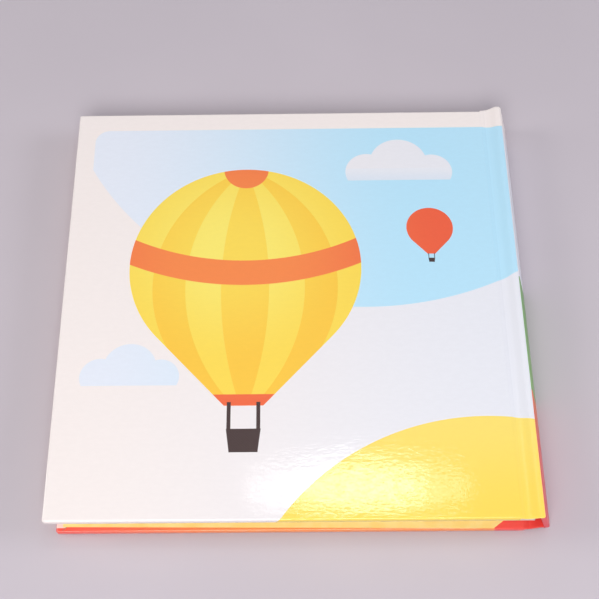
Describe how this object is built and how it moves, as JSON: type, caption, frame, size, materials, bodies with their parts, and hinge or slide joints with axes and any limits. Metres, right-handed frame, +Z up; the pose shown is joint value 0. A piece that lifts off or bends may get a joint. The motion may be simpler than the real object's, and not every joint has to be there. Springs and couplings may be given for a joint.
{
  "type": "board book",
  "caption": "Square hardcover board book lying closed on its front cover; both covers open on hinges at the spine, over a block of thick card leaves.",
  "frame": {"origin": "under the middle of the closed book's box, on the surface that it lies on", "axes": "+X to the spine, +Y to the head of the book, +Z up through the back cover"},
  "size_m": [0.2152, 0.212, 0.0189],
  "materials": {
    "printed_paper": "gloss laminated print, cream white",
    "front_paper": "gloss laminated print, orange red",
    "front_panel": "gloss laminated print, pale yellow",
    "ink_sky": "gloss laminated print, pale blue",
    "ink_yellow": "gloss laminated print, yellow",
    "ink_amber": "gloss laminated print, deeper yellow",
    "ink_orange": "gloss laminated print, orange red",
    "ink_brown": "gloss laminated print, dark brown",
    "ink_red": "gloss laminated print, red",
    "ink_green": "gloss laminated print, green",
    "end_paper": "uncoated, yellow",
    "greyboard": "bare board",
    "leaf_card": "coated white card",
    "lining_paper": "bare paper"
  },
  "bodies": {
    "front_cover": {"front_board": "greyboard", "front_wrap": "front_paper", "front_print_panel": "front_panel", "front_end_sheet": "end_paper"},
    "page_block": {"page_block": "leaf_card", "block_lining": "lining_paper", "front_end_hinge": "end_paper", "back_end_hinge": "end_paper", "spine_card": "greyboard", "spine_wrap": "printed_paper", "spine_print_red": "ink_red", "spine_print_orange": "ink_orange", "spine_print_green": "ink_green", "spine_print_sky": "ink_sky", "spine_print_meadow": "ink_yellow"},
    "back_cover": {"back_board": "greyboard", "back_wrap": "printed_paper", "back_print_sky": "ink_sky", "back_print_meadow": "ink_yellow", "back_print_balloon": "ink_yellow", "back_print_stripes": "ink_amber", "back_print_trim": "ink_orange", "back_print_baskets": "ink_brown", "back_end_sheet": "end_paper"}
  },
  "joints": [
    {"name": "front_joint", "type": "hinge", "parent": "front_cover", "child": "page_block", "pos_m": [0.09975, 0, 0], "axis": [0, 1, 0], "range_deg": [0, 180]},
    {"name": "back_joint", "type": "hinge", "parent": "page_block", "child": "back_cover", "pos_m": [0.09635, 0, 0.01885], "axis": [0, 1, 0], "range_deg": [0, 180]}
  ]
}
